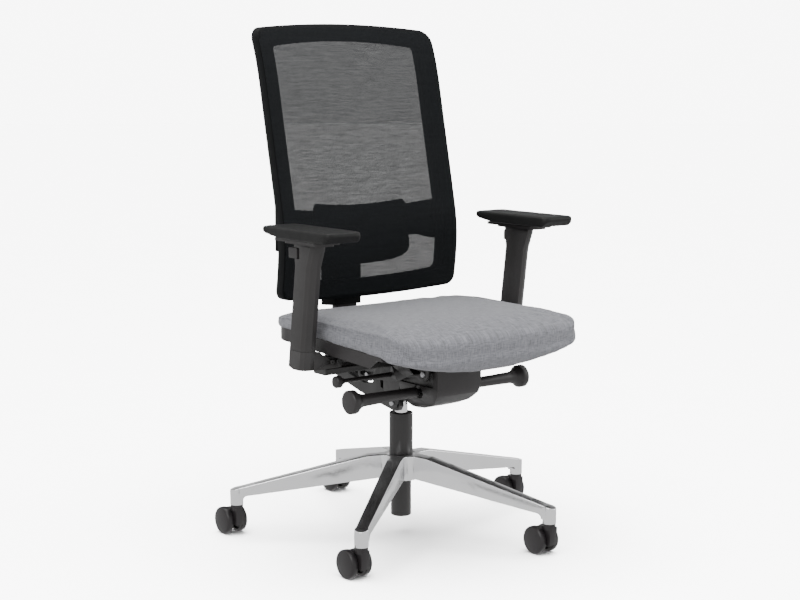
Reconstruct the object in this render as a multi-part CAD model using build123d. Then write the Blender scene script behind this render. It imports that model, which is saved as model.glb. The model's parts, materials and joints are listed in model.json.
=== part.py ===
from build123d import *
import math
import os

# Mesh-back office task chair.  Millimetres, +Z up, origin on the floor under the column.
# The sitter faces -Y, the sitter's right hand is on the -X side.

# ---------------------------------------------------------------- driving dimensions
# base and casters
ARM_COUNT = 5
ARM_STEP = 360.0 / ARM_COUNT
FIRST_ARM_ANGLE = -68.9
SOCKET_CIRCLE = 351.0
SOCKET_RADIUS = 14.0
SOCKET_BOTTOM = 66.8
SOCKET_BORE_TOP = 91.0
HUB_TOP = 170.6
HUB_BOTTOM = 118.0
STEM_RADIUS = 5.5
RUNNING_GAP = 0.05
WHEEL_RADIUS = 29.0
CASTER_TRAIL = 24.3
CASTER_HALF_WIDTH = 25.2
WHEEL_INNER_FACE = 10.4
HOOD_HALF_WIDTH = 9.9
WHEEL_AXLE_RADIUS = 3.0

# column and gas lift
TUBE_RADIUS = 25.0
TUBE_LOWER_RADIUS = 21.8
TUBE_TOP = 260.3
TUBE_BOTTOM = 35.8
TUBE_FLOOR = 4.0
GAS_RADIUS = 14.0
GAS_BOTTOM = 62.0
GAS_TOP = 350.0
ROD_RADIUS = 5.0
VALVE_RADIUS = 4.0

# mechanism, as (Y, Z) of each pivot line along X
MAIN_PIVOT = (-38.0, 292.0)
FRONT_PIVOT = (-160.0, 372.0)
LINK_PIN = (25.0, 345.0)
LINK_TRAVEL = (20.5, 2.8)
MAIN_PIVOT_RADIUS = 6.0
FRONT_PIVOT_RADIUS = 6.0
LINK_PIN_RADIUS = 5.0
CONTROL_AXIS = (-126.5, 330.0)
CONTROL_END = 233.0
KNOB_RADIUS = 24.0
CONTROL_SHAFT_RADIUS = 5.0
DEPTH_BUTTON_AXIS = (-50.0, 356.5)
DEPTH_BUTTON_END = 210.0
HOUSING_HALF_WIDTH = 54.0
HOUSING_WALL = 5.5
BELLY_HALF_WIDTH = 58.0
CARRIER_ARM_INNER = 34.0
CARRIER_ARM_OUTER = 46.0

# arm supports
CROSSBAR_HALF_LENGTH = 237.0
CROSSBAR_Y = (-57.0, -15.0)
CROSSBAR_Z = (374.0, 388.0)
POST_INNER_FACE = 268.0
POST_OUTER_FACE = 294.0
POST_LENGTH = 56.0
POST_REAR = -9.0
POST_LEAN = -0.13
BRACKET_BOTTOM = 389.0
SLEEVE_BOTTOM = 428.0
SLEEVE_TOP = 642.0
UPRIGHT_SIZE = (12.0, 34.0)
UPRIGHT_TOP = 602.0
BUTTON_X = (-295.5, -276.0)
BUTTON_Y = (-44.0, -15.0)
BUTTON_Z = (613.0, 634.0)
PAD_CENTRE_X = 281.2
PAD_FRONT = -186.0
PAD_LENGTH = 230.0
PAD_WIDTH = 84.8
PAD_TOP = 674.4
PAD_THICKNESS = 22.0
PAD_BASE_THICKNESS = 9.0

# seat
SEAT_HALF_WIDTH = 241.0
CUSHION_FRONT = -305.0
CUSHION_REAR = 156.0
PAN_SLOPE = 0.055
PAN_RIM_AT_ZERO = 448.5
PAN_DEPTH = 27.0
PAN_WALL = 4.0

# backrest, as (Z, Y) of its front face at the sides
BACK_PROFILE = ((490, 106), (540, 98), (590, 92), (650, 92.5), (710, 103), (780, 117.5),
                (900, 143), (980, 160.5), (1030, 176), (1090, 206))
BACK_HALF_WIDTH = 232.5
BACK_DEPTH = 25.0
BACK_CENTRE_SETBACK = 14.0
BACK_BOTTOM = 507.5
BACK_TOP = 1067.0
BACK_TOP_BOW = 13.0
BACK_BOTTOM_BOW = 11.0
BACK_TOP_CORNER = 30.0
BACK_BOTTOM_CORNER = 22.0
BORDER_SIDE = 30.0
BORDER_SIDE_REAR = 42.0
BORDER_TOP = 33.0
BORDER_BOTTOM = 36.0
NET_THICKNESS = 1.2
SPINE_Y = (188.0, 216.0)
SPINE_HALF_WIDTH = 35.0
SPINE_REAR_HALF_WIDTH = 53.0
CARRIER_TOP = 560.0


# ---------------------------------------------------------------- small helpers
def x_rod(radius, x_from, x_to, y, z):
    """A round bar along X between two X positions."""
    return Pos((x_from + x_to) / 2, y, z) * Rot(0, 90, 0) * Cylinder(radius, abs(x_to - x_from))


def block(x, y, z):
    """A box from (low, high) pairs."""
    centre = Pos((x[0] + x[1]) / 2, (y[0] + y[1]) / 2, (z[0] + z[1]) / 2)
    return centre * Box(x[1] - x[0], y[1] - y[0], z[1] - z[0])


def side_prism(points, x_from, x_to):
    """A prism along X whose outline is a polygon of (Y, Z) points."""
    face = make_face(Polyline([(x_from, y, z) for y, z in points], close=True))
    return extrude(face, amount=x_to - x_from, dir=(1, 0, 0))


def turned(points, centre):
    """A solid of revolution about the Z line through centre from (radius, Z) points."""
    profile = make_face(Polyline([(r, 0, z) for r, z in points], close=True))
    return Pos(centre[0], centre[1], 0) * revolve(profile, Axis.Z)


def turned_about_x(points, y, z):
    """A solid of revolution about the X line at (y, z) from (X, radius) points."""
    profile = make_face(Polyline([(x, 0, r) for x, r in points], close=True))
    return Pos(0, y, z) * revolve(profile, Axis.X)


def mirrored(shape):
    """The same shape on the other side of the chair."""
    return mirror(shape, about=Plane.YZ)


def save(name, shape):
    """Write one node."""
    export_step(shape, f"parts/{name}.step")


# ---------------------------------------------------------------- base and casters
def arm_plan(half_root, half_tip, reach):
    """Plan outline of one base arm along +X."""
    corners = [(0, -half_root), (reach, -half_tip), (reach, half_tip), (0, half_root)]
    return make_face(Polyline(corners, close=True))


def arm_angles():
    return [FIRST_ARM_ANGLE + ARM_STEP * k for k in range(ARM_COUNT)]


def socket_centres():
    return [(SOCKET_CIRCLE * math.cos(math.radians(a)), SOCKET_CIRCLE * math.sin(math.radians(a)))
            for a in arm_angles()]


def arm_top(radius):
    """Height of the top face of an arm at a distance from the column."""
    return 168.5 - (radius - 72.0) * 0.2381


def base_envelope():
    """Turned envelope that gives the arms their slope and their tapering depth."""
    tip = SOCKET_CIRCLE + SOCKET_RADIUS + 2
    top = Polyline((0, 0, HUB_TOP), (34, 0, HUB_TOP), (72, 0, 168.5), (tip, 0, arm_top(tip)),
                   (tip, 0, 76))
    under = Line((tip, 0, 76), (338, 0, 76))
    web = ThreePointArc((338, 0, 76), (334.5, 0, 84), (325, 0, 87))
    belly = Polyline((325, 0, 87), (46, 0, HUB_BOTTOM + 3), (40, 0, HUB_BOTTOM), (0, 0, HUB_BOTTOM))
    shaft = Line((0, 0, HUB_BOTTOM), (0, 0, HUB_TOP))
    return revolve(make_face(Wire([*top.edges(), under, web, *belly.edges(), shaft])), Axis.Z)


def base_pockets():
    """The open channels under the arms, split by cross ribs."""
    pockets = []
    for angle in arm_angles():
        for start in range(64, 300, 52):
            end = start + 48
            half = 10.5 - start * 0.009
            roof = arm_top(end) - 7.0
            corners = [(start, 0), (end, 0), (end, roof), (start, arm_top(start) - 7.0)]
            profile = make_face(Polyline(corners, close=True))
            cutter = extrude(Plane.XZ * profile, amount=half, both=True)
            pockets.append(Rot(0, 0, angle) * cutter)
    return pockets


def base_star():
    plan = [Rot(0, 0, a) * arm_plan(16.5, 12.5, SOCKET_CIRCLE) for a in arm_angles()]
    star = plan[0] + plan[1:]
    inner = star.vertices().sort_by_distance((0, 0, 0))[:ARM_COUNT]
    star = fillet(inner, 17)
    star += [Pos(x, y) * Circle(SOCKET_RADIUS) for x, y in socket_centres()]
    body = extrude(Pos(0, 0, 60) * star, amount=130) & base_envelope()
    centres = [(edge, edge.center()) for edge in body.edges()]
    top_edges = [edge for edge, c in centres if c.Z > arm_top(math.hypot(c.X, c.Y)) - 3]
    body = fillet(top_edges, 1.6)
    for x, y in socket_centres():
        body += Pos(x, y, 80) * Cylinder(SOCKET_RADIUS, 2 * (80 - SOCKET_BOTTOM))
    body -= base_pockets()
    for x, y in socket_centres():
        bore_centre = (SOCKET_BOTTOM - 1 + SOCKET_BORE_TOP) / 2
        bore_depth = SOCKET_BORE_TOP - SOCKET_BOTTOM + 1
        body -= Pos(x, y, bore_centre) * Cylinder(STEM_RADIUS + RUNNING_GAP, bore_depth)
    return body - Pos(0, 0, 140) * Cylinder(TUBE_LOWER_RADIUS + 0.02, 120)


def wheel_profile():
    """Half section of one wheel as (X, radius), outer face at positive X."""
    bore = WHEEL_AXLE_RADIUS + RUNNING_GAP
    rim = WHEEL_INNER_FACE + 1
    return [(WHEEL_INNER_FACE, bore), (WHEEL_INNER_FACE, 8), (18, 8), (18, 23), (rim, 24), (rim, 28.2),
            (rim + 1, WHEEL_RADIUS), (20.5, WHEEL_RADIUS), (22.6, 28.3), (24.2, 26.6),
            (CASTER_HALF_WIDTH, 24), (CASTER_HALF_WIDTH, 0), (22, 0), (22, bore)]


def caster_wheel(centre, side):
    x, y = centre
    profile = [(side * px, r) for px, r in wheel_profile()]
    return Pos(x, 0, 0) * turned_about_x(profile, y + CASTER_TRAIL, WHEEL_RADIUS)


def caster_hood(centre):
    """Swivel body between the wheels, with the collar that takes the stem."""
    x, y = centre
    shield = x_rod(27.2, x - HOOD_HALF_WIDTH, x + HOOD_HALF_WIDTH, y + CASTER_TRAIL, WHEEL_RADIUS)
    neck = block((x - HOOD_HALF_WIDTH, x + HOOD_HALF_WIDTH), (y - 13, y + 12), (23, 60))
    collar = Pos(x, y, 60) * Cylinder(13, 12.6)
    below = block((x - 20, x + 20), (y - 20, y + 60), (-5, 23))
    body = shield + neck + collar - below
    body -= Pos(x, y, 55) * Cylinder(STEM_RADIUS, 30)
    return body - x_rod(WHEEL_AXLE_RADIUS, x - 20, x + 20, y + CASTER_TRAIL, WHEEL_RADIUS)


def caster_pins(centre):
    """Swivel stem with its grip ring groove, and the wheel axle."""
    x, y = centre
    top = SOCKET_BORE_TOP - 1.5
    groove = STEM_RADIUS - 0.8
    stem = turned([(0, 40), (STEM_RADIUS, 40), (STEM_RADIUS, top - 9), (groove, top - 8), (groove, top - 5),
                   (STEM_RADIUS, top - 4), (STEM_RADIUS - 1, top), (0, top)], centre)
    axle = x_rod(WHEEL_AXLE_RADIUS, x - 21.5, x + 21.5, y + CASTER_TRAIL, WHEEL_RADIUS)
    return Compound([stem, axle])


def build_base():
    save("base_star", base_star())
    for number, centre in enumerate(socket_centres(), start=1):
        save(f"caster_{number}_hood", caster_hood(centre))
        save(f"caster_{number}_pins", caster_pins(centre))
        save(f"caster_{number}_wheel_left", caster_wheel(centre, 1))
        save(f"caster_{number}_wheel_right", caster_wheel(centre, -1))


# ---------------------------------------------------------------- column and gas lift
def column_tube():
    hole = ROD_RADIUS + RUNNING_GAP
    inner = TUBE_LOWER_RADIUS - 2
    mouth = TUBE_RADIUS - 2.2
    outside = [(hole, TUBE_BOTTOM), (TUBE_LOWER_RADIUS - 1.5, TUBE_BOTTOM),
               (TUBE_LOWER_RADIUS, TUBE_BOTTOM + 1.5), (TUBE_LOWER_RADIUS, HUB_TOP), (TUBE_RADIUS, HUB_TOP),
               (TUBE_RADIUS, TUBE_TOP - 1), (TUBE_RADIUS - 1, TUBE_TOP)]
    inside = [(mouth, TUBE_TOP), (mouth, HUB_TOP + 6), (inner, HUB_TOP + 2),
              (inner, TUBE_BOTTOM + TUBE_FLOOR), (hole, TUBE_BOTTOM + TUBE_FLOOR)]
    return turned(outside + inside, (0, 0))


def guide_sleeve():
    """Plastic bush that guides the gas cylinder, with a collar just inside the tube's mouth."""
    bore = GAS_RADIUS + RUNNING_GAP
    slim = TUBE_LOWER_RADIUS - 2
    wide = TUBE_RADIUS - 2.2
    top = TUBE_TOP - 3
    return turned([(bore, 150), (slim, 150), (slim, HUB_TOP + 2), (wide, HUB_TOP + 6), (wide, top),
                   (bore + 3, top), (bore, top - 3)], (0, 0))


def gas_cylinder():
    inner = GAS_RADIUS - 1.5
    hole = ROD_RADIUS + RUNNING_GAP
    valve = VALVE_RADIUS + RUNNING_GAP
    return turned([(hole, GAS_BOTTOM), (GAS_RADIUS - 1, GAS_BOTTOM), (GAS_RADIUS, GAS_BOTTOM + 1),
                   (GAS_RADIUS, GAS_TOP), (valve, GAS_TOP), (valve, GAS_TOP - 22), (inner, GAS_TOP - 22),
                   (inner, GAS_BOTTOM + 10), (hole, GAS_BOTTOM + 10)], (0, 0))


def piston_rod():
    """Rod that hangs in the tube's floor on its shoulder, with the piston at its top."""
    floor = TUBE_BOTTOM + TUBE_FLOOR
    piston = GAS_RADIUS - 1.5 - RUNNING_GAP
    return turned([(0, TUBE_BOTTOM - 2), (ROD_RADIUS, TUBE_BOTTOM - 2), (ROD_RADIUS, floor + 5),
                   (9, floor + 5), (9, floor + 9), (ROD_RADIUS, floor + 9), (ROD_RADIUS, 222), (piston, 222),
                   (piston, 234), (0, 234)], (0, 0))


def thrust_bearing():
    """Ring that the rod's shoulder turns on."""
    floor = TUBE_BOTTOM + TUBE_FLOOR
    inner = ROD_RADIUS + 0.3
    return turned([(inner, floor), (13, floor), (13, floor + 4.7), (inner, floor + 4.7)], (0, 0))


def release_button():
    low = GAS_TOP - 14
    high = GAS_TOP + 6
    r = VALVE_RADIUS
    return turned([(0, low), (r, low), (r, high - 1), (r - 1, high), (0, high)], (0, 0))


def build_column():
    save("column_tube", column_tube())
    save("guide_sleeve", guide_sleeve())
    save("gas_cylinder", gas_cylinder())
    save("piston_rod", piston_rod())
    save("thrust_bearing", thrust_bearing())
    save("release_button", release_button())


# ---------------------------------------------------------------- mechanism
def mechanism_housing():
    """Cast housing: two long cheeks, a floor in front, the taper hub and the pivot lugs."""
    inner = HOUSING_HALF_WIDTH - HOUSING_WALL
    py, pz = MAIN_PIVOT
    cheek = [(-186, 340), (-180, 336), (-64, 336), (py - 14, pz), (py - 8, pz - 11), (py + 8, pz - 11),
             (py + 14, pz), (-8, 318), (-8, 340), (-20, 346), (-72, 350), (-86, 366), (-130, 372),
             (-150, 383), (-170, 383), (-186, 372)]
    right = side_prism(cheek, inner, HOUSING_HALF_WIDTH)
    floor = [(-186, 340), (-180, 328), (-20, 322), (-20, 328), (-176, 333), (-181, 342), (-181, 372),
             (-186, 372)]
    shape = right + mirrored(right) + side_prism(floor, -inner, inner)
    shape -= block((30, 48.2), (-62, 0), (300, 345))
    shape -= block((-48.2, -30), (-62, 0), (300, 345))
    shape += block((-inner, inner), (-76, -64), (328, 345))
    shape += Pos(0, 0, 319) * Cylinder(23, 62)
    shape -= Pos(0, 0, 318) * Cylinder(GAS_RADIUS, 70)
    shape -= x_rod(MAIN_PIVOT_RADIUS, -80, 80, py, pz)
    shape -= x_rod(FRONT_PIVOT_RADIUS, -80, 80, *FRONT_PIVOT)
    return shape - x_rod(CONTROL_SHAFT_RADIUS + RUNNING_GAP, -80, 80, *CONTROL_AXIS)


def belly_solid(shrink):
    """Boat-shaped volume of the lower cover; shrink moves its walls inwards and opens its rear."""
    s = shrink
    half = BELLY_HALF_WIDTH - s
    keel = [(-192 + s, 400), (-192 + s, 343), (-187 + s, 327 + s), (-168, 309 + s), (-140, 298 + s),
            (-112, 290 + s), (-84, 286 + s), (-66 + s, 286 + s), (-66 + s, 400)]
    side = side_prism(keel, -half, half)
    section = Polyline((-half, 400), (-half, 338), (-half + 5, 319 + s), (-half + 18, 300 + s),
                       (-20, 285 + s), (20, 285 + s), (half - 18, 300 + s), (half - 5, 319 + s),
                       (half, 338), (half, 400), close=True)
    across = extrude(Plane.XZ * make_face(section), amount=250, both=True)
    return side & across


def belly_cover():
    """Plastic tray under the front of the housing, with a recess in each flank for the control shafts."""
    shell = belly_solid(0) - belly_solid(2.6)
    shell -= block((-80, 80), (-250, 0), (392, 420))
    shell -= block((-80, 80), (-176, 0), (345, 420))
    shell -= x_rod(FRONT_PIVOT_RADIUS + 9, -90, 90, *FRONT_PIVOT)
    return shell - x_rod(14, -90, 90, *CONTROL_AXIS)


def pivot_pins():
    """The two stub pins that the back carrier turns on."""
    pins = [x_rod(MAIN_PIVOT_RADIUS, s * 32, s * 57, *MAIN_PIVOT) for s in (-1, 1)]
    return Compound(pins)


def front_axle():
    return x_rod(FRONT_PIVOT_RADIUS, -72, 72, *FRONT_PIVOT)


def tension_spring():
    """Compression spring that lies lengthwise in the housing."""
    path = Pos(0, -76, 350) * Rot(90, 0, 0) * Helix(pitch=7.5, height=60, radius=12)
    start = Plane(origin=path @ 0, z_dir=path % 0)
    return sweep(start * Circle(2.2), path=path)


def screw_places():
    """(X, Z) of the screws that hold each arm bracket, on the +X side."""
    return [(228.0, 402.5), (213.0, 402.5)]


def crossbar():
    """Flat bar across the seat carrier with an upright tab near each end for the arm brackets."""
    bar = block((-CROSSBAR_HALF_LENGTH, CROSSBAR_HALF_LENGTH), CROSSBAR_Y, CROSSBAR_Z)
    bar = fillet(bar.edges().filter_by(Axis.X), 3)
    tab = block((204, 235), (-43, -31), (CROSSBAR_Z[1] - 2, 411))
    bar += tab + mirrored(tab)
    for x, z in screw_places():
        for side in (-1, 1):
            bar -= Pos(side * x, -40, z) * Rot(90, 0, 0) * Cylinder(3, 30)
    return bar


def control_knob(side):
    """Trumpet knob with its long neck, on one side of the mechanism."""
    end = CONTROL_END
    profile = [(62, 10.5), (150, 11.5), (end - 38, 12.5), (end - 28, 14.5), (end - 20, 19),
               (end - 15, 23.5), (end - 13, KNOB_RADIUS), (end - 2, KNOB_RADIUS), (end, KNOB_RADIUS - 2.2),
               (end, 0), (end - 10, 0), (end - 10, CONTROL_SHAFT_RADIUS), (62, CONTROL_SHAFT_RADIUS)]
    return turned_about_x([(side * x, r) for x, r in profile], *CONTROL_AXIS)


def control_shaft(side, inner_end):
    return x_rod(CONTROL_SHAFT_RADIUS, side * inner_end, side * (CONTROL_END - 10.5), *CONTROL_AXIS)


def tension_nut():
    """Square nut that the tension shaft screws along the housing."""
    y, z = CONTROL_AXIS
    nut = block((18, 32), (y - 9, y + 9), (z + 2.3, z + 12))
    return nut - x_rod(CONTROL_SHAFT_RADIUS + RUNNING_GAP, 0, 50, y, z)


def depth_button():
    """Push knob for the seat depth, on its rod."""
    end = DEPTH_BUTTON_END
    profile = [(-end, 0), (-end, 10.5), (-end + 2, 12.5), (-end + 12, 12.5), (-end + 17, 8),
               (-end + 24, 4.5), (-66, 4.5), (-66, 0)]
    return turned_about_x(profile, *DEPTH_BUTTON_AXIS)


def build_mechanism():
    save("mechanism_housing", mechanism_housing())
    save("belly_cover", belly_cover())
    save("pivot_pins", pivot_pins())
    save("front_axle", front_axle())
    save("tension_spring", tension_spring())
    save("arm_crossbar", crossbar())
    save("height_knob", control_knob(-1))
    save("height_shaft", control_shaft(-1, 30))
    save("tension_knob", control_knob(1))
    save("tension_shaft", control_shaft(1, 6))
    save("tension_nut", tension_nut())
    save("depth_button", depth_button())


# ---------------------------------------------------------------- seat
def seat_carrier():
    """Tilting carrier under the seat: a deck on two side plates with pivot holes and link slots."""
    fy, fz = FRONT_PIVOT
    ly, lz = LINK_PIN
    plate = [(fy - 16, fz - 6), (fy - 8, fz - 14), (fy + 8, fz - 14), (fy + 20, fz - 8), (-104, 358),
             (-76, 345), (-20, 340), (ly - 16, lz - 8), (ly - 8, lz - 13), (ly + 24, lz - 13),
             (ly + 34, lz - 4), (ly + 36, lz + 30), (96, 413), (fy - 22, 413)]
    side = side_prism(plate, 64.6, 70)
    side -= x_rod(FRONT_PIVOT_RADIUS + RUNNING_GAP, 50, 90, fy, fz)
    side -= x_rod(4.5 + RUNNING_GAP, 50, 90, *DEPTH_BUTTON_AXIS)
    slot_angle = math.degrees(math.atan2(LINK_TRAVEL[1], LINK_TRAVEL[0]))
    slot_length = math.hypot(*LINK_TRAVEL)
    slot_radius = LINK_PIN_RADIUS + 0.9
    slot_middle = Pos(ly + LINK_TRAVEL[0] / 2, lz + LINK_TRAVEL[1] / 2) * Rot(0, 0, slot_angle)
    side -= extrude(Plane.YZ * slot_middle * SlotCenterToCenter(slot_length, 2 * slot_radius), amount=90)
    deck = block((-110, 110), (fy - 22, 112), (409, 413)) - block((-40, 40), (-120, 60), (400, 420))
    for x in (-90, 90):
        deck += block((x - 12, x + 12), (fy - 22, 112), (413, 417))
        outer = x + math.copysign(18, x)
        deck += block((outer - 2, outer + 2), (fy - 22, 112), (391, 413))
    return deck + side + mirrored(side) - crossbar()


def pan_rim(y):
    """Height of the joint line between cushion and pan."""
    return PAN_RIM_AT_ZERO + PAN_SLOPE * y


def seat_outline(half_width, front, rear):
    """Plan outline of the seat with straight sides, a bowed front and a rounder rear."""
    w = half_width
    side_front = front + 44
    side_rear = rear - 66
    edges = [Line((w, side_front), (w, side_rear)),
             ThreePointArc((w, side_rear), (w - 22, rear - 20), (w - 78, rear - 3)),
             ThreePointArc((w - 78, rear - 3), (0, rear), (78 - w, rear - 3)),
             ThreePointArc((78 - w, rear - 3), (22 - w, rear - 20), (-w, side_rear)),
             Line((-w, side_rear), (-w, side_front)),
             ThreePointArc((-w, side_front), (11 - w, front + 16), (40 - w, front + 6)),
             ThreePointArc((40 - w, front + 6), (0, front), (w - 40, front + 6)),
             ThreePointArc((w - 40, front + 6), (w - 11, front + 16), (w, side_front))]
    return make_face(Wire(edges))


def front_arch(lift, top):
    """Front view outline whose lower edge rises from the middle to both sides."""
    edge = 260
    side = 438 + lift
    arch = ThreePointArc((-edge, 0, side), (0, 0, 393 + lift), (edge, 0, side))
    sides = Polyline((edge, 0, side), (edge, 0, top), (-edge, 0, top), (-edge, 0, side))
    return extrude(make_face(Wire([arch, *sides.edges()])), amount=400, both=True, dir=(0, 1, 0))


def seat_cushion():
    """Foam cushion as a plain closed solid: crowned top, waterfall front."""
    low = [(CUSHION_REAR, pan_rim(CUSHION_REAR)), (-238, pan_rim(-238)), (-262, 412), (-270, 393)]
    top = [(-288, 395), (-301, 425), (CUSHION_FRONT, 452), (-298, 470), (-272, 484), (-220, 491.5),
           (-110, 495), (-20, 491), (60, 484.5), (130, 478), (CUSHION_REAR - 2, 469)]
    body = extrude(Pos(0, 0, 380) * seat_outline(SEAT_HALF_WIDTH, CUSHION_FRONT, CUSHION_REAR), amount=130)
    body &= side_prism(low + top, -260, 260)
    body &= front_arch(0.5, 600)
    w = SEAT_HALF_WIDTH
    crown = ThreePointArc((-w, 0, 487), (0, 0, 497), (w, 0, 487))
    walls = Polyline((w, 0, 487), (260, 0, 468), (260, 0, 350), (-260, 0, 350), (-260, 0, 468), (-w, 0, 487))
    return body & extrude(make_face(Wire([crown, *walls.edges()])), amount=400, both=True, dir=(0, 1, 0))


def seat_pan():
    """Plastic shell that the cushion sits on, hollow below, with a lip under the front."""
    gap = 0.3
    rear = 150.0
    outer = [(rear, pan_rim(rear) - gap), (-237, pan_rim(-237) - gap), (-261, 410.5), (-269, 391),
             (-256, 386), (-226, pan_rim(-226) - PAN_DEPTH), (rear, pan_rim(rear) - PAN_DEPTH)]
    inner = [(rear + 30, pan_rim(rear + 30) - gap - PAN_WALL), (-230, pan_rim(-230) - gap - PAN_WALL),
             (-230, 380), (rear + 30, 380)]
    outline = seat_outline(SEAT_HALF_WIDTH - 3, -285.0, rear)
    body = extrude(Pos(0, 0, 380) * outline, amount=100) & side_prism(outer, -260, 260)
    front_end = [(-300, 370), (-196, 370), (-204, 412), (-250, 450), (-300, 450)]
    body -= side_prism(front_end, -260, 260) - front_arch(-2, 600)
    hollow = extrude(Pos(0, 0, 370) * seat_outline(SEAT_HALF_WIDTH - 7, -245.0, rear - 4), amount=100)
    body -= hollow & side_prism(inner, -260, 260)
    for x in (-150, -50, 50, 150):
        rib = [(rear - 8, pan_rim(rear) - 10), (rear - 8, pan_rim(rear) - 2), (-232, pan_rim(-232) - 2),
               (-232, pan_rim(-232) - 10)]
        body += side_prism(rib, x - 1.5, x + 1.5) & extrude(Pos(0, 0, 380) * outline, amount=100)
    return body


def slide_rails():
    """Two rails under the pan that run on the carrier's strips."""
    rails = []
    for x in (-90, 90):
        roof = [(-176, 417.3), (100, 417.3), (100, pan_rim(100) - 4.6), (-176, pan_rim(-176) - 4.6)]
        rail = side_prism(roof, x - 20, x + 20)
        rail -= block((x - 12.3, x + 12.3), (-200, 200), (400, 417.3))
        rails.append(rail + block((x - 20, x - 12.6), (-176, 100), (413.3, 418)))
        rails[-1] += block((x + 12.6, x + 20), (-176, 100), (413.3, 418))
    return Compound(rails)


def build_seat():
    save("seat_carrier", seat_carrier())
    save("seat_pan", seat_pan())
    save("slide_rails", slide_rails())
    save("seat_cushion", seat_cushion())


# ---------------------------------------------------------------- arm supports, built on the -X side
def lean(z):
    """Shift in Y of the leaning post at a height."""
    return POST_LEAN * (z - SLEEVE_BOTTOM)


def post_section(z, flare=0.0):
    """Cross section of the post at a height: flat outer flank and a slanted front facet."""
    x_in = -POST_INNER_FACE
    x_out = -POST_OUTER_FACE
    rear = POST_REAR + lean(z) + flare
    front = POST_REAR - POST_LENGTH + lean(z) - flare
    points = [(x_in, rear), (x_out + 4, rear), (x_out, rear - 4), (x_out, front + 14),
              (x_out + 5, front + 6), (x_out + 16, front), (x_in, front)]
    return make_face(Polyline([(x, y, z) for x, y in points], close=True))


def upright_prism(width, length, z_from, z_to):
    """Leaning bar inside the post."""
    x = -(POST_INNER_FACE + POST_OUTER_FACE) / 2 + 1
    y = POST_REAR - POST_LENGTH / 2 + 2 + lean(z_from)
    face = Pos(x, y, z_from) * Rectangle(width, length)
    return extrude(face, amount=z_to - z_from, dir=(0, POST_LEAN, 1))


def arm_bracket():
    """Foot beside the crossbar's tab, corner block and the upright that the sleeve rides on."""
    corner = loft([post_section(BRACKET_BOTTOM), post_section(SLEEVE_BOTTOM - 0.6)], ruled=True)
    corner &= side_prism([(0, BRACKET_BOTTOM + 8), (-24, BRACKET_BOTTOM), (-70, BRACKET_BOTTOM),
                          (-90, BRACKET_BOTTOM + 4), (-90, 450), (0, 450)], -300, -250)
    foot = [(-POST_INNER_FACE - 2, BRACKET_BOTTOM), (-204, BRACKET_BOTTOM), (-200, 396), (-204, 411),
            (-243, 413), (-256, 425), (-POST_INNER_FACE - 2, 426)]
    foot_face = make_face(Polyline([(x, -64, z) for x, z in foot], close=True))
    upright = upright_prism(*UPRIGHT_SIZE, BRACKET_BOTTOM + 8, UPRIGHT_TOP)
    shape = corner + extrude(foot_face, amount=20.7, dir=(0, 1, 0)) + upright
    for x, z in screw_places():
        shape -= Pos(-x, -40, z) * Rot(90, 0, 0) * Cylinder(3, 60)
    return shape


def arm_sleeve():
    """Hollow outer post with the flared head under the pad."""
    body = loft([post_section(SLEEVE_BOTTOM), post_section(598)], ruled=True)
    head = loft([post_section(598), post_section(SLEEVE_TOP - 8, 9), post_section(SLEEVE_TOP, 9)], ruled=True)
    rib_foot = Pos(-POST_INNER_FACE - 14, POST_REAR + lean(540) - 3, 540) * Rectangle(11, 12)
    rib = extrude(rib_foot, amount=70, dir=(0, POST_LEAN, 1))
    bore = upright_prism(UPRIGHT_SIZE[0] + 0.7, UPRIGHT_SIZE[1] + 0.7, SLEEVE_BOTTOM - 1, UPRIGHT_TOP + 4)
    pocket = block((-POST_OUTER_FACE - 5, BUTTON_X[1] + 0.4), (BUTTON_Y[0] - 5, 20),
                   (BUTTON_Z[0] - 0.4, BUTTON_Z[1] + 0.4))
    return body + head + rib - bore - pocket


def arm_button():
    """Height release button at the rear of the post's head."""
    return fillet(block(BUTTON_X, BUTTON_Y, BUTTON_Z).edges().filter_by(Axis.X), 3)


def pad_base():
    """Plate under the arm pad."""
    low = SLEEVE_TOP + 0.4
    wide = extrude(Pos(-PAD_CENTRE_X, -58, low + 4) * RectangleRounded(60, 156, 14),
                   amount=PAD_BASE_THICKNESS - 4)
    narrow = extrude(Pos(-PAD_CENTRE_X, -66, low) * RectangleRounded(44, 120, 12), amount=4.5)
    return wide + narrow


def arm_pad():
    """Moulded pad: rounded front, lower face swept up towards both ends."""
    rear = PAD_FRONT + PAD_LENGTH
    bottom = PAD_TOP - PAD_THICKNESS
    profile = [(PAD_FRONT, PAD_TOP - 9), (PAD_FRONT + 14, bottom), (rear - 62, bottom),
               (rear - 16, bottom + 7), (rear, PAD_TOP - 9), (rear, PAD_TOP), (PAD_FRONT, PAD_TOP)]
    half = PAD_WIDTH / 2
    body = side_prism(profile, -PAD_CENTRE_X - half, -PAD_CENTRE_X + half)
    outline = Pos(-PAD_CENTRE_X, (PAD_FRONT + rear) / 2, bottom) * RectangleRounded(PAD_WIDTH, PAD_LENGTH, 14)
    body &= extrude(outline, amount=PAD_THICKNESS)
    top_edges = body.edges().group_by(Axis.Z)[-1]
    return fillet(top_edges, 5)


def arm_screws():
    """Socket screws that hold both brackets to the crossbar's tabs."""
    screws = []
    for side in (-1, 1):
        for x, z in screw_places():
            shank = Pos(side * x, -47, z) * Rot(90, 0, 0) * Cylinder(3, 34)
            head = Pos(side * x, -66, z) * Rot(90, 0, 0) * Cylinder(5, 4)
            key = Pos(side * x, -66, z) * Rot(90, 0, 0) * extrude(RegularPolygon(2.4, 6), amount=3)
            screws.append(shank + head - key)
    return Compound(screws)


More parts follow.
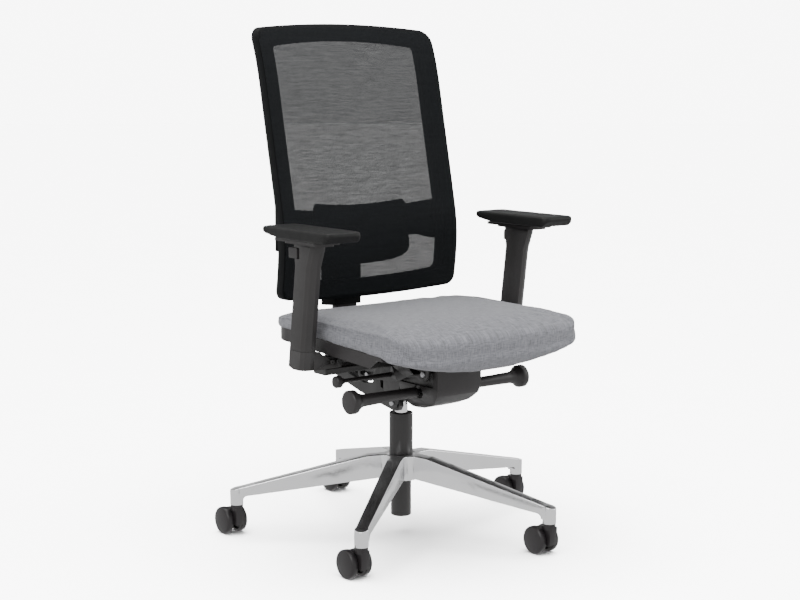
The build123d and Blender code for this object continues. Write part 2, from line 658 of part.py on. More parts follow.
def build_arms():
    makers = {"arm_bracket": arm_bracket, "arm_sleeve": arm_sleeve, "arm_button": arm_button,
              "pad_base": pad_base, "arm_pad": arm_pad}
    for name, maker in makers.items():
        shape = maker()
        save(f"{name}_right", shape)
        save(f"{name}_left", mirrored(shape))
    save("arm_screws", arm_screws())


# ---------------------------------------------------------------- backrest
def back_line(offset, shift):
    """The side profile of the back's front face, moved rearwards."""
    return [(0, y + offset + shift, z) for z, y in BACK_PROFILE]


def back_slab(offset, thickness):
    """Doubly curved slab that follows the backrest, from offset behind its front face."""
    sections = []
    for x, shift in ((-260, -3.5), (0, BACK_CENTRE_SETBACK), (260, -3.5)):
        front = back_line(offset, shift)
        rear = back_line(offset + thickness, shift)
        edges = [Spline(front), Line(front[-1], rear[-1]), Spline(rear[::-1]), Line(rear[0], front[0])]
        sections.append(Pos(x, 0, 0) * make_face(Wire(edges)))
    return loft(sections)


def back_outline(side, top, bottom, top_corner, bottom_corner):
    """Front view outline: straight sides, bowed top and bottom, rounded corners."""
    half = BACK_HALF_WIDTH - side
    high = BACK_TOP - top
    low = BACK_BOTTOM + bottom
    right = Line((half, 0, low), (half, 0, high))
    crest = ThreePointArc((half, 0, high), (0, 0, high + BACK_TOP_BOW), (-half, 0, high))
    left = Line((-half, 0, high), (-half, 0, low))
    sill = ThreePointArc((-half, 0, low), (0, 0, low - BACK_BOTTOM_BOW), (half, 0, low))
    face = make_face(Wire([right, crest, left, sill]))
    by_height = face.vertices().sort_by(Axis.Z)
    face = fillet(by_height[:2], bottom_corner)
    face = fillet(face.vertices().sort_by(Axis.Z)[-2:], top_corner)
    return extrude(face, amount=300, both=True, dir=(0, 1, 0))


def back_frame():
    """Ring with a slim border in front, under the net, and a wider flange behind."""
    first = NET_THICKNESS + 0.3
    ring = back_slab(first, BACK_DEPTH - first) & back_outline(0, 0, 0, BACK_TOP_CORNER, BACK_BOTTOM_CORNER)
    ring -= back_outline(BORDER_SIDE_REAR, BORDER_TOP + 4, BORDER_BOTTOM + 3, 8, 14)
    return ring - (back_slab(first - 6, 15) & back_outline(BORDER_SIDE, BORDER_TOP, BORDER_BOTTOM, 6, 12))


def back_net():
    return back_slab(0, NET_THICKNESS) & back_outline(2, 2, 2, BACK_TOP_CORNER - 2, BACK_BOTTOM_CORNER - 2)


def yoke_band(x_half, y_side, y_centre, thickness, z_from, z_to):
    """Bow-shaped band, forward at its ends, as seen from above."""
    y_back = y_side + thickness
    outer = ThreePointArc((-x_half, y_back), (0, y_centre + thickness), (x_half, y_back))
    inner = ThreePointArc((x_half, y_side), (0, y_centre), (-x_half, y_side))
    ends = [Line(outer @ 1, inner @ 0), Line(inner @ 1, outer @ 0)]
    face = make_face(Wire([outer, ends[0], inner, ends[1]]))
    return extrude(Pos(0, 0, z_from) * face, amount=z_to - z_from)


def back_yoke():
    """Bow behind the net that carries the frame, with the hollow spine below it."""
    band = yoke_band(222, 129, 180, 13, 580, 706)
    top = ThreePointArc((-240, 0, 703), (0, 0, 678), (240, 0, 703))
    right = Polyline((240, 0, 703), (240, 0, 604), (196, 0, 610), (168, 0, 618), (133, 0, 617), (70, 0, 590))
    low = Line((70, 0, 590), (-70, 0, 590))
    left = Polyline((-70, 0, 590), (-133, 0, 617), (-168, 0, 618), (-196, 0, 610), (-240, 0, 604),
                    (-240, 0, 703))
    view = make_face(Wire([top, *right.edges(), low, *left.edges()]))
    band &= extrude(view, amount=400, both=True, dir=(0, 1, 0))
    front, rear = SPINE_Y
    half = SPINE_HALF_WIDTH
    wide = SPINE_REAR_HALF_WIDTH
    section = Polyline((-half, front), (half, front), (wide, rear), (-wide, rear), close=True)
    spine = extrude(Pos(0, 0, 470) * make_face(section), amount=205)
    return band + spine - block((-28.4, 28.4), (front + 6, rear - 6), (460, 630))


def back_carrier():
    """J-shaped support: fork at the main pivot, rising bar, upright inside the spine."""
    py, pz = MAIN_PIVOT
    ly, lz = LINK_PIN
    arm = [(py - 14, pz - 6), (py - 8, pz - 16), (py + 6, pz - 18), (42, 287), (160, 316), (196, 330),
           (196, 345), (150, 336), (70, 318), (ly + 14, 322), (ly + 10, lz + 6), (ly + 4, lz + 10),
           (ly - 4, lz + 10), (ly - 10, lz + 6), (ly - 14, 318), (py + 12, pz + 12), (py - 6, pz + 12),
           (py - 12, pz + 6)]
    fork = side_prism(arm, CARRIER_ARM_INNER, CARRIER_ARM_OUTER)
    fork += mirrored(fork)
    bar = side_prism([(80, 295.5), (160, 316.3), (192, 326), (214, 352), (214, 400), (198, 400), (198, 362),
                      (180, 343), (150, 335), (84, 318)], -CARRIER_ARM_OUTER, CARRIER_ARM_OUTER)
    bar -= side_prism([(74, 280), (74, 340), (140, 345), (128, 300)], -24, 24)
    taper = loft([Pos(0, 206, 400) * Rectangle(2 * CARRIER_ARM_OUTER, 16),
                  Pos(0, 202, 450) * Rectangle(56, 15.4)])
    upright = block((-28, 28), (SPINE_Y[0] + 6.3, SPINE_Y[1] - 6.3), (450, CARRIER_TOP))
    shape = fork + bar + taper + upright
    shape -= x_rod(MAIN_PIVOT_RADIUS + RUNNING_GAP, -60, 60, py, pz)
    return shape - x_rod(LINK_PIN_RADIUS, -60, 60, ly, lz)


def link_pins():
    pins = [x_rod(LINK_PIN_RADIUS, s * 32, s * 74, *LINK_PIN) for s in (-1, 1)]
    return Compound(pins)


def lumbar_pad():
    """Curved plastic pad between the net and the bow."""
    band = yoke_band(134, 138, 150, 6, 560, 702)
    top = ThreePointArc((-116, 0, 701), (0, 0, 693), (116, 0, 701))
    right = Polyline((116, 0, 701), (123, 0, 692), (125, 0, 640), (133, 0, 612), (133, 0, 592),
                     (127, 0, 582), (113, 0, 574), (90, 0, 568))
    low = ThreePointArc((90, 0, 568), (0, 0, 563), (-90, 0, 568))
    left = Polyline((-90, 0, 568), (-113, 0, 574), (-127, 0, 582), (-133, 0, 592), (-133, 0, 612),
                    (-125, 0, 640), (-123, 0, 692), (-116, 0, 701))
    view = make_face(Wire([top, *right.edges(), low, *left.edges()]))
    return band & extrude(view, amount=400, both=True, dir=(0, 1, 0))


def build_back():
    save("back_carrier", back_carrier())
    save("link_pins", link_pins())
    save("back_frame", back_frame())
    save("back_net", back_net())
    save("back_yoke", back_yoke())
    save("lumbar_pad", lumbar_pad())


os.makedirs("parts", exist_ok=True)
build_base()
build_column()
build_mechanism()
build_seat()
build_arms()
build_back()
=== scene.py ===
import json
import math

import bmesh
import bpy
from mathutils import Matrix, Vector
from mathutils.bvhtree import BVHTree


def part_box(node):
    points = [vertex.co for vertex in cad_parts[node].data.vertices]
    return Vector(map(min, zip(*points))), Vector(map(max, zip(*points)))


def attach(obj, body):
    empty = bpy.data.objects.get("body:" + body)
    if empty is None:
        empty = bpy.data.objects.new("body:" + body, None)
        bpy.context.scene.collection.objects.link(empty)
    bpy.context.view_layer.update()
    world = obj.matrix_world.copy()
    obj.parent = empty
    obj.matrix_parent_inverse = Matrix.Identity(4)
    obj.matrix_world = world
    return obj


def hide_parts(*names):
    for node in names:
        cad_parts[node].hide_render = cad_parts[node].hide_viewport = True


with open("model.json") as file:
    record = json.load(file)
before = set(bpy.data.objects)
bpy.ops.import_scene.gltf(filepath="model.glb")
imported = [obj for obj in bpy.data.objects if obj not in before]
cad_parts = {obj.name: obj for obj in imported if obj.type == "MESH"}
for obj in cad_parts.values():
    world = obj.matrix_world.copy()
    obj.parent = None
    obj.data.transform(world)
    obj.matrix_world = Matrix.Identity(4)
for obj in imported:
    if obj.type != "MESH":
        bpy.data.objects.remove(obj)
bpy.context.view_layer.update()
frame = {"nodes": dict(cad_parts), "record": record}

NODES = frame["nodes"]
RECORD = frame["record"]
BODY_OF = {node: body for body, nodes in RECORD["behaviour"]["bodies"].items() for node in nodes}
SLOT_OF = {part["node"]: part["material_slot"] for part in RECORD["subparts"]}

WELD_DISTANCE = 0.00002
DEFAULT_BEVEL = 0.0006
SHARP_CREASE = 34
FACETED_CREASE = 21

YARN_PITCH = 0.0016
KNIT_PITCH = (0.0021, 0.0017)
KNIT_COVER = 0.74
KNIT_VEIL = 0.65
KNIT_EDGE = 0.03
NET_STEP = 0.006
NET_LIFT = 0.0004

CUSHION_VOXEL = 0.006
CUSHION_SMOOTHING = 12
CUSHION_CAP = 0.006
CUSHION_PRESSURE = 4.0
CUSHION_DRAW_IN = 0.035
CLOTH_FRAMES = 20
PAD_VOXEL = 0.003
PAD_SMOOTHING = 5

FLOOR_SIZE = 60.0
ROOM_RADIUS = 29.0
ROOM_GLOW = 8.1
BEHIND_NET = 0.16

CAMERA_PLACE = (-2.062855, -2.610571, 0.972270)
CAMERA_YAW = math.radians(-38.278)
CAMERA_PITCH = math.radians(8.071)
CAMERA_LENS = 71.63


# ---------------------------------------------------------------- shader helpers
def new_material(name):
    """Empty node material with a Principled BSDF; returns (material, node tree, bsdf)."""
    material = bpy.data.materials.new(name)
    material.use_nodes = True
    tree = material.node_tree
    tree.nodes.clear()
    output = tree.nodes.new("ShaderNodeOutputMaterial")
    bsdf = tree.nodes.new("ShaderNodeBsdfPrincipled")
    tree.links.new(bsdf.outputs["BSDF"], output.inputs["Surface"])
    return material, tree, bsdf


def put(tree, socket, value):
    """Link a socket, or set a constant."""
    if isinstance(value, bpy.types.NodeSocket):
        tree.links.new(value, socket)
    elif isinstance(value, (tuple, list)) and socket.type == "RGBA" and len(value) == 3:
        socket.default_value = (*value, 1.0)
    else:
        socket.default_value = value


def tinted(colour, share):
    """A colour made darker or lighter by a share, no brighter than white."""
    return tuple(min(1.0, channel * share) for channel in colour)


def math_node(tree, operation, a, b=0.0):
    node = tree.nodes.new("ShaderNodeMath")
    node.operation = operation
    for socket, value in zip(node.inputs, (a, b)):
        put(tree, socket, value)
    return node.outputs[0]


def product(tree, a, b):
    return math_node(tree, "MULTIPLY", a, b)


def mix_colour(tree, factor, a, b):
    node = tree.nodes.new("ShaderNodeMix")
    node.data_type = "RGBA"
    put(tree, node.inputs[0], factor)
    put(tree, node.inputs[6], a)
    put(tree, node.inputs[7], b)
    return node.outputs[2]


def remap(tree, value, low, high, to_low, to_high):
    node = tree.nodes.new("ShaderNodeMapRange")
    put(tree, node.inputs["Value"], value)
    node.inputs["From Min"].default_value = low
    node.inputs["From Max"].default_value = high
    node.inputs["To Min"].default_value = to_low
    node.inputs["To Max"].default_value = to_high
    return node.outputs["Result"]


def object_coordinates(tree, stretch=(1, 1, 1)):
    """Object coordinates, which are metres in the row frame, stretched per axis."""
    coordinate = tree.nodes.new("ShaderNodeTexCoord")
    mapping = tree.nodes.new("ShaderNodeMapping")
    mapping.inputs["Scale"].default_value = stretch
    tree.links.new(coordinate.outputs["Object"], mapping.inputs["Vector"])
    return mapping.outputs["Vector"]


def noise(tree, vector, scale, detail=3.0, roughness=0.55):
    node = tree.nodes.new("ShaderNodeTexNoise")
    put(tree, node.inputs["Vector"], vector)
    node.inputs["Scale"].default_value = scale
    node.inputs["Detail"].default_value = detail
    node.inputs["Roughness"].default_value = roughness
    return node.outputs["Fac"]


def voronoi(tree, vector, scale):
    node = tree.nodes.new("ShaderNodeTexVoronoi")
    put(tree, node.inputs["Vector"], vector)
    node.inputs["Scale"].default_value = scale
    return node.outputs["Distance"]


def bump(tree, bsdf, height, distance, strength=0.4):
    node = tree.nodes.new("ShaderNodeBump")
    node.inputs["Strength"].default_value = strength
    node.inputs["Distance"].default_value = distance
    put(tree, node.inputs["Height"], height)
    tree.links.new(node.outputs["Normal"], bsdf.inputs["Normal"])


# ---------------------------------------------------------------- materials
def grained_plastic(name, colour, roughness, grain=900.0, depth=0.00012, gloss=0.42):
    """Moulded plastic with a fine leather-like grain and uneven gloss."""
    material, tree, bsdf = new_material(name)
    place = object_coordinates(tree)
    large = noise(tree, place, 9.0, 4.0)
    put(tree, bsdf.inputs["Base Color"],
        mix_colour(tree, remap(tree, large, 0.3, 0.7, 0.0, 1.0), tinted(colour, 0.86), tinted(colour, 1.16)))
    put(tree, bsdf.inputs["Roughness"],
        remap(tree, noise(tree, place, 55.0, 5.0), 0.25, 0.75, roughness - 0.08, roughness + 0.08))
    put(tree, bsdf.inputs["Specular IOR Level"], gloss)
    bump(tree, bsdf, voronoi(tree, place, grain), depth, 0.35)
    return material


def powder_coat(name, colour, roughness):
    """Powder-coated steel: fine orange peel over the colour."""
    material, tree, bsdf = new_material(name)
    place = object_coordinates(tree)
    put(tree, bsdf.inputs["Base Color"],
        mix_colour(tree, noise(tree, place, 14.0), tinted(colour, 0.88), tinted(colour, 1.14)))
    put(tree, bsdf.inputs["Roughness"],
        remap(tree, noise(tree, place, 120.0, 4.0), 0.3, 0.7, roughness - 0.07, roughness + 0.07))
    put(tree, bsdf.inputs["Coat Weight"], 0.12)
    put(tree, bsdf.inputs["Coat Roughness"], 0.35)
    bump(tree, bsdf, noise(tree, place, 700.0, 2.0), 0.0001, 0.3)
    return material


def metal(name, colour, roughness, streaks, spread, peel=0.00002):
    """Bare metal; streaks stretches the polishing marks along an axis."""
    material, tree, bsdf = new_material(name)
    put(tree, bsdf.inputs["Metallic"], 1.0)
    marks = noise(tree, object_coordinates(tree, streaks), 60.0, 6.0, 0.65)
    large = noise(tree, object_coordinates(tree), 11.0, 3.0)
    put(tree, bsdf.inputs["Base Color"],
        mix_colour(tree, large, tinted(colour, 0.93), tinted(colour, 1.05)))
    put(tree, bsdf.inputs["Roughness"], remap(tree, marks, 0.3, 0.7, roughness - spread, roughness + spread))
    bump(tree, bsdf, marks, peel, 0.25)
    return material


def weave_height(tree, u, v, pitch):
    """Plain weave from two metre coordinates: (height, which thread is on top)."""
    u_angle = product(tree, u, math.pi / pitch)
    v_angle = product(tree, v, math.pi / pitch)
    over = product(tree, math_node(tree, "SINE", u_angle), math_node(tree, "SINE", v_angle))
    warp = math_node(tree, "ABSOLUTE", math_node(tree, "COSINE", u_angle))
    weft = math_node(tree, "ABSOLUTE", math_node(tree, "COSINE", v_angle))
    height = math_node(tree, "ADD", product(tree, over, 0.5), product(tree, warp, weft))
    return height, over


def cloth_plane(tree):
    """Flat cloth coordinates in metres: X, Y - Z on top and front, Y, -Z on the two flanks."""
    split = tree.nodes.new("ShaderNodeSeparateXYZ")
    tree.links.new(object_coordinates(tree), split.inputs[0])
    x, y, z = split.outputs
    facing = tree.nodes.new("ShaderNodeNewGeometry")
    normal = tree.nodes.new("ShaderNodeSeparateXYZ")
    tree.links.new(facing.outputs["True Normal"], normal.inputs[0])
    flank = math_node(tree, "GREATER_THAN", math_node(tree, "ABSOLUTE", normal.outputs[0]), 0.72)
    top = math_node(tree, "SUBTRACT", 1.0, flank)
    u = math_node(tree, "ADD", product(tree, x, top), product(tree, y, flank))
    v = math_node(tree, "SUBTRACT", product(tree, y, top), z)
    plane = tree.nodes.new("ShaderNodeCombineXYZ")
    tree.links.new(u, plane.inputs[0])
    tree.links.new(v, plane.inputs[1])
    return u, v, plane.outputs[0]


def melange_fabric(name, colour):
    """Upholstery cloth woven from uneven light and dark yarns."""
    material, tree, bsdf = new_material(name)
    u, v, plane = cloth_plane(tree)
    height, over = weave_height(tree, u, v, YARN_PITCH)
    streaks = []
    for stretch in ((60, 470, 1), (470, 60, 1)):
        mapping = tree.nodes.new("ShaderNodeMapping")
        mapping.inputs["Scale"].default_value = stretch
        tree.links.new(plane, mapping.inputs["Vector"])
        streaks.append(noise(tree, mapping.outputs["Vector"], 1.0, 3.0, 0.6))
    yarn = mix_colour(tree, remap(tree, over, -0.2, 0.2, 0.25, 0.75), streaks[0], streaks[1])
    contrast = remap(tree, yarn, 0.36, 0.64, 0.0, 1.0)
    tone = mix_colour(tree, contrast, tinted(colour, 0.60), tinted(colour, 1.42))
    patch = remap(tree, noise(tree, plane, 6.0, 2.0), 0.3, 0.7, 0.0, 1.0)
    put(tree, bsdf.inputs["Base Color"], mix_colour(tree, product(tree, patch, 0.15), tone, colour))
    put(tree, bsdf.inputs["Roughness"], remap(tree, yarn, 0.3, 0.7, 0.82, 0.96))
    put(tree, bsdf.inputs["Specular IOR Level"], 0.25)
    put(tree, bsdf.inputs["Sheen Weight"], 0.22)
    put(tree, bsdf.inputs["Sheen Roughness"], 0.5)
    fibre = product(tree, noise(tree, plane, 2600.0, 2.0), 0.6)
    bump(tree, bsdf, math_node(tree, "ADD", height, fibre), 0.00035, 0.55)
    return material


def cell_offset(tree, coordinate):
    """Squared distance from the middle of a unit cell, along one direction."""
    from_middle = math_node(tree, "SUBTRACT", math_node(tree, "FRACT", coordinate), 0.5)
    return math_node(tree, "POWER", math_node(tree, "ABSOLUTE", from_middle), 2.0)


def open_knit(name, colour, pitch, cover, veil):
    """Stretched knit with rows of pores: cover is the share of thick thread, fine threads veil the pores."""
    material, tree, bsdf = new_material(name)
    split = tree.nodes.new("ShaderNodeSeparateXYZ")
    tree.links.new(object_coordinates(tree), split.inputs[0])
    upward = math_node(tree, "DIVIDE", split.outputs[2], pitch[1])
    offset = product(tree, math_node(tree, "PINGPONG", math_node(tree, "FLOOR", upward), 1.0), 0.5)
    across = math_node(tree, "ADD", math_node(tree, "DIVIDE", split.outputs[0], pitch[0]), offset)
    squares = math_node(tree, "ADD", cell_offset(tree, across), cell_offset(tree, upward))
    reach = math_node(tree, "SQRT", squares)
    pore = math.sqrt((1.0 - cover) / math.pi)
    drift = noise(tree, object_coordinates(tree, (30, 30, 400)), 1.0, 2.0)
    uneven = remap(tree, drift, 0.3, 0.7, -0.035, 0.035)
    reach = math_node(tree, "ADD", reach, uneven)
    solid = remap(tree, reach, pore - KNIT_EDGE, pore + KNIT_EDGE, 0.0, 1.0)
    put(tree, bsdf.inputs["Alpha"], remap(tree, solid, 0.0, 1.0, veil, 1.0))
    rows = noise(tree, object_coordinates(tree, (8, 8, 260)), 1.0, 3.0)
    put(tree, bsdf.inputs["Base Color"], mix_colour(tree, rows, tinted(colour, 0.75), tinted(colour, 1.35)))
    put(tree, bsdf.inputs["Roughness"], 0.72)
    put(tree, bsdf.inputs["Specular IOR Level"], 0.06)
    put(tree, bsdf.inputs["Sheen Weight"], 0.02)
    bump(tree, bsdf, solid, 0.0003, 0.5)
    return material


MATERIALS = {
    "polished_aluminium": metal("polished_aluminium", (0.86, 0.86, 0.87), 0.22, (3, 3, 3), 0.05, 0.00006),
    "black_steel": powder_coat("black_steel", (0.013, 0.012, 0.012), 0.40),
    "chrome": metal("chrome", (0.88, 0.88, 0.89), 0.06, (1, 1, 20), 0.03),
    "bright_steel": metal("bright_steel", (0.40, 0.40, 0.41), 0.34, (20, 1, 1), 0.08),
    "black_plastic": grained_plastic("black_plastic", (0.021, 0.019, 0.0195), 0.42),
    "arm_plastic": grained_plastic("arm_plastic", (0.027, 0.0255, 0.0255), 0.46),
    "back_plastic": grained_plastic("back_plastic", (0.0030, 0.0036, 0.0039), 0.60, gloss=0.10),
    "wheel_plastic": grained_plastic("wheel_plastic", (0.015, 0.013, 0.014), 0.36, 300.0, 0.00003),
    "pad_rubber": grained_plastic("pad_rubber", (0.009, 0.009, 0.009), 0.55, 650.0, 0.0002, 0.2),
    "bush_plastic": grained_plastic("bush_plastic", (0.015, 0.015, 0.015), 0.4),
    "net": open_knit("net", (0.008, 0.009, 0.010), KNIT_PITCH, KNIT_COVER, KNIT_VEIL),
    "seat_fabric": melange_fabric("seat_fabric", (0.188, 0.190, 0.208)),
}


def dress(obj, slot_name):
    """Give a piece its material and its record slot."""
    obj.data.materials.clear()
    obj.data.materials.append(MATERIALS[slot_name])


def shade_smooth(obj):
    obj.data.polygons.foreach_set("use_smooth", [True] * len(obj.data.polygons))


def soften_edges(obj, width, crease):
    """Weld the imported facets, round the edges sharper than crease degrees and smooth the rest."""
    weld = obj.modifiers.new("weld", "WELD")
    weld.merge_threshold = WELD_DISTANCE
    bevel = obj.modifiers.new("bevel", "BEVEL")
    bevel.width = width
    bevel.segments = 2
    bevel.limit_method = "ANGLE"
    bevel.angle_limit = math.radians(crease)
    bevel.harden_normals = True
    shade_smooth(obj)


BEVELS = {"base_star": 0.0012, "back_frame": 0.0035, "back_yoke": 0.002, "lumbar_pad": 0.0018,
          "arm_sleeve_left": 0.0012, "arm_sleeve_right": 0.0012, "seat_pan": 0.0012, "belly_cover": 0.002}
FACETED = ("arm_sleeve", "arm_bracket", "pad_base", "belly_cover", "seat_pan", "mechanism_housing",
           "back_carrier")
for node_name, node_object in NODES.items():
    dress(node_object, SLOT_OF[node_name])
    soften_edges(node_object, BEVELS.get(node_name, DEFAULT_BEVEL),
                 FACETED_CREASE if node_name.startswith(FACETED) else SHARP_CREASE)


# ---------------------------------------------------------------- soft pieces
def link(obj):
    bpy.context.scene.collection.objects.link(obj)
    return obj


def copy_of(node_name, piece_name):
    """A new object with a copy of a CAD node's mesh, welded."""
    mesh = NODES[node_name].data.copy()
    mesh.materials.clear()
    if mesh.has_custom_normals:
        mesh.normals_split_custom_set([(0, 0, 0)] * len(mesh.loops))
    work = bmesh.new()
    work.from_mesh(mesh)
    bmesh.ops.remove_doubles(work, verts=work.verts, dist=WELD_DISTANCE)
    work.to_mesh(mesh)
    work.free()
    return link(bpy.data.objects.new(piece_name, mesh))


def bake_modifiers(obj):
    """Replace the mesh by its modified shape and drop the modifiers."""
    graph = bpy.context.evaluated_depsgraph_get()
    mesh = bpy.data.meshes.new_from_object(obj.evaluated_get(graph))
    obj.modifiers.clear()
    obj.data = mesh


def remeshed(obj, voxel, smoothing):
    """Even quads over the shape, with its edges rounded by smoothing."""
    remesh = obj.modifiers.new("remesh", "REMESH")
    remesh.mode = "VOXEL"
    remesh.voxel_size = voxel
    smooth = obj.modifiers.new("smooth", "SMOOTH")
    smooth.factor = 0.5
    smooth.iterations = smoothing
    bake_modifiers(obj)


def fit_to_node(obj, node_name):
    """Stretch a mesh a little along each axis, so that smoothing hasn't made it smaller than its node."""
    low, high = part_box(node_name)
    points = [v.co for v in obj.data.vertices]
    for axis in range(3):
        first = min(p[axis] for p in points)
        last = max(p[axis] for p in points)
        scale = (high[axis] - low[axis]) / (last - first)
        for point in points:
            point[axis] = low[axis] + (point[axis] - first) * scale


def draw_in_underside(obj, share):
    """Pull the lower edge in under the sides, so that the flanks bulge between top and bottom."""
    for vertex in obj.data.vertices:
        under = min(max(0.35 - vertex.normal.z, 0.0), 1.0)
        vertex.co.x *= 1.0 - share * under


def puff(obj, pressure, cap):
    """Blow the cover up against its pinned lower edge, moving no point further than cap."""
    mesh = obj.data
    rest = [v.co.copy() for v in mesh.vertices]
    group = obj.vertex_groups.new(name="held")
    for vertex in mesh.vertices:
        if vertex.normal.z < -0.35:
            group.add([vertex.index], 1.0, "REPLACE")
    cloth = obj.modifiers.new("cloth", "CLOTH")
    settings = cloth.settings
    settings.quality = 5
    settings.mass = 0.25
    settings.tension_stiffness = 18
    settings.compression_stiffness = 18
    settings.shear_stiffness = 6
    settings.bending_stiffness = 1.5
    settings.vertex_group_mass = "held"
    settings.use_pressure = True
    settings.uniform_pressure_force = pressure
    settings.effector_weights.gravity = 0.0
    cloth.point_cache.frame_start = 1
    cloth.point_cache.frame_end = CLOTH_FRAMES
    scene = bpy.context.scene
    for number in range(1, CLOTH_FRAMES + 1):
        scene.frame_set(number)
    bake_modifiers(obj)
    scene.frame_set(1)
    for vertex, start in zip(obj.data.vertices, rest):
        move = vertex.co - start
        if move.length > cap:
            vertex.co = start + move * (cap / move.length)


cushion = copy_of("seat_cushion", "cushion_cover")
remeshed(cushion, CUSHION_VOXEL, CUSHION_SMOOTHING)
draw_in_underside(cushion, CUSHION_DRAW_IN)
puff(cushion, CUSHION_PRESSURE, CUSHION_CAP)
fit_to_node(cushion, "seat_cushion")
round_off = cushion.modifiers.new("round", "SUBSURF")
round_off.levels = 1
round_off.render_levels = 1
bake_modifiers(cushion)
shade_smooth(cushion)
dress(cushion, "seat_fabric")
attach(cushion, BODY_OF["seat_cushion"])
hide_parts("seat_cushion")

for side in ("left", "right"):
    pad = copy_of(f"arm_pad_{side}", f"arm_pad_skin_{side}")
    remeshed(pad, PAD_VOXEL, PAD_SMOOTHING)
    fit_to_node(pad, f"arm_pad_{side}")
    shade_smooth(pad)
    dress(pad, "pad_rubber")
    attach(pad, BODY_OF[f"arm_pad_{side}"])
    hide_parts(f"arm_pad_{side}")


# ---------------------------------------------------------------- the net
def net_surface():
    """Single layer of cloth over the front of the CAD net, with its rounded outline."""
    source = NODES["back_net"].data
    tree = BVHTree.FromPolygons([v.co for v in source.vertices], [tuple(p.vertices) for p in source.polygons])
    low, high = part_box("back_net")
    width, height = high.x - low.x, high.z - low.z
    columns, rows = round(width / NET_STEP), round(height / NET_STEP)
    work = bmesh.new()
    grid = {}
    for i in range(columns + 1):
        for j in range(rows + 1):
            x = low.x + width * i / columns
            z = low.z + height * j / rows
            ray_x = min(max(x, low.x + NET_LIFT), high.x - NET_LIFT)
            hit = tree.ray_cast(Vector((ray_x, low.y - 0.5, z)), Vector((0, 1, 0)))
            if hit[0] is not None:
                grid[i, j] = work.verts.new((x, hit[0].y + NET_LIFT, z))
    for i in range(columns):
        for j in range(rows):
            corners = [grid.get(k) for k in ((i, j), (i + 1, j), (i + 1, j + 1), (i, j + 1))]
            corners = [c for c in corners if c is not None]
            if len(corners) >= 3:
                work.faces.new(corners)
    mesh = bpy.data.meshes.new("net_cloth")
    work.to_mesh(mesh)
    work.free()
    return link(bpy.data.objects.new("net_cloth", mesh))


net = net_surface()
shade_smooth(net)
dress(net, "net")
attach(net, BODY_OF["back_net"])
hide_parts("back_net")


# ---------------------------------------------------------------- floor, light and camera
def dim_behind_net(tree, value):
    """The studio is far brighter than white paper; seen through the net it drops to paper white."""
    path = tree.nodes.new("ShaderNodeLightPath")
    behind = math_node(tree, "MINIMUM", path.outputs["Transparent Depth"], 1.0)
    return math_node(tree, "MULTIPLY", remap(tree, behind, 0.0, 1.0, 1.0, BEHIND_NET), value)


def glow(name, strength):
    material = bpy.data.materials.new(name)
    material.use_nodes = True
    tree = material.node_tree
    tree.nodes.clear()
    output = tree.nodes.new("ShaderNodeOutputMaterial")
    emission = tree.nodes.new("ShaderNodeEmission")
    put(tree, emission.inputs["Strength"], dim_behind_net(tree, strength))
    tree.links.new(emission.outputs[0], output.inputs["Surface"])
    return material


def flat_plane(name, size, material):
    mesh = bpy.data.meshes.new(name)
    half = size / 2
    corners = [(-half, -half, 0), (half, -half, 0), (half, half, 0), (-half, half, 0)]
    mesh.from_pydata(corners, [], [(0, 1, 2, 3)])
    mesh.materials.append(material)
    obj = link(bpy.data.objects.new(name, mesh))
    return obj


def area_light(name, location, target, size, power):
    data = bpy.data.lights.new(name, "AREA")
    data.shape = "RECTANGLE"
    data.size, data.size_y = size
    data.energy = power
    obj = link(bpy.data.objects.new(name, data))
    obj.location = location
    obj.rotation_mode = "QUATERNION"
    obj.rotation_quaternion = (Vector(target) - Vector(location)).to_track_quat("-Z", "Y")
    return obj


def round_room(name, radius, material):
    """Pale wall and ceiling all round, seen by the camera and lighting nothing."""
    work = bmesh.new()
    bmesh.ops.create_uvsphere(work, u_segments=48, v_segments=24, radius=radius)
    mesh = bpy.data.meshes.new(name)
    work.to_mesh(mesh)
    work.free()
    mesh.materials.append(material)
    obj = link(bpy.data.objects.new(name, mesh))
    for flag in ("visible_diffuse", "visible_glossy", "visible_transmission", "visible_shadow"):
        setattr(obj, flag, False)
    return obj


floor_material, floor_tree, floor_bsdf = new_material("studio_floor")
grain = noise(floor_tree, object_coordinates(floor_tree), 3.0)
paleness = dim_behind_net(floor_tree, remap(floor_tree, grain, 0.0, 1.0, 0.86, 0.90))
put(floor_tree, floor_bsdf.inputs["Base Color"], mix_colour(floor_tree, paleness, (0, 0, 0), (1, 1, 1)))
put(floor_tree, floor_bsdf.inputs["Roughness"], 0.9)
floor = flat_plane("floor", FLOOR_SIZE, floor_material)
floor.visible_diffuse = False
floor.visible_glossy = False
round_room("backdrop", ROOM_RADIUS, glow("backdrop_glow", ROOM_GLOW))

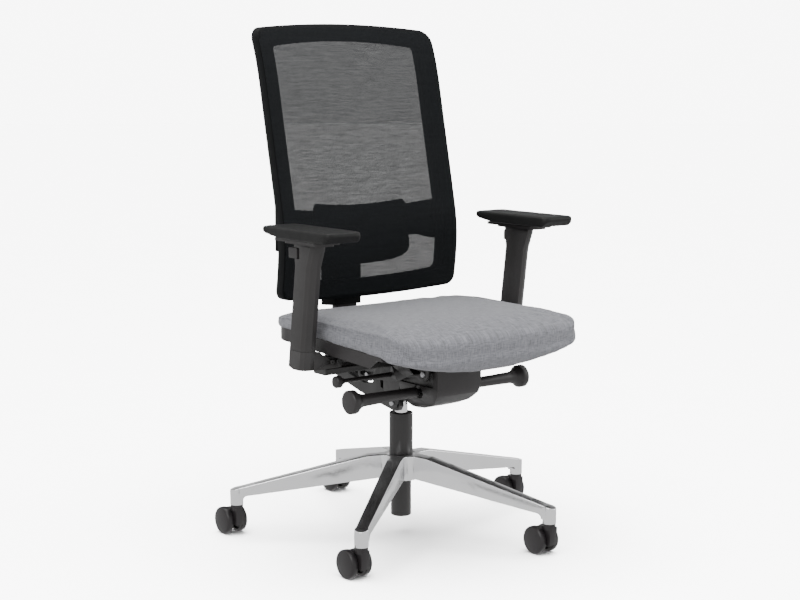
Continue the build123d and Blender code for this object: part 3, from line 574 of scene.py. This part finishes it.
# wide soft sun that lights the floor alone
wash_data = bpy.data.lights.new("floor_wash", "SUN")
wash_data.energy = 27.0
wash_data.angle = math.radians(75)
wash = link(bpy.data.objects.new("floor_wash", wash_data))
only_floor = bpy.data.collections.new("only_floor")
only_floor.objects.link(floor)
wash.light_linking.receiver_collection = only_floor

area_light("key", (-2.6, -1.6, 2.6), (0, 0, 0.6), (2.2, 1.6), 70.0)
area_light("fill", (2.8, -1.8, 1.6), (0, 0, 0.5), (1.8, 2.0), 36.0)
area_light("top", (0.2, 0.4, 3.0), (0, 0, 0.5), (2.8, 2.8), 60.0)

# even sky with one dark patch high behind the chair, for the polished base to reflect
world = bpy.data.worlds.new("studio")
bpy.context.scene.world = world
world.use_nodes = True
sky = world.node_tree
sky.nodes.clear()
sky_output = sky.nodes.new("ShaderNodeOutputWorld")
sky_light = sky.nodes.new("ShaderNodeBackground")
sky.links.new(sky_light.outputs[0], sky_output.inputs["Surface"])
direction = sky.nodes.new("ShaderNodeTexCoord")
toward = sky.nodes.new("ShaderNodeVectorMath")
toward.operation = "DOT_PRODUCT"
sky.links.new(direction.outputs["Generated"], toward.inputs[0])
dark_patch = Vector((-math.sin(CAMERA_YAW), math.cos(CAMERA_YAW), 0.84)).normalized()
toward.inputs[1].default_value = dark_patch
put(sky, sky_light.inputs["Strength"], remap(sky, toward.outputs["Value"], 0.84, 0.95, 1.25, 0.06))
world.cycles_visibility.camera = False

camera_data = bpy.data.cameras.new("camera")
camera_data.sensor_width = 36.0
camera_data.lens = CAMERA_LENS
camera = link(bpy.data.objects.new("camera", camera_data))
back = Vector((math.sin(CAMERA_YAW) * math.cos(CAMERA_PITCH), -math.cos(CAMERA_YAW) * math.cos(CAMERA_PITCH),
               math.sin(CAMERA_PITCH)))
right = Vector((math.cos(CAMERA_YAW), math.sin(CAMERA_YAW), 0))
turn = Matrix((right, back.cross(right), back)).transposed()
camera.matrix_world = Matrix.Translation(CAMERA_PLACE) @ turn.to_4x4()
bpy.context.scene.camera = camera

bpy.context.view_layer.update()
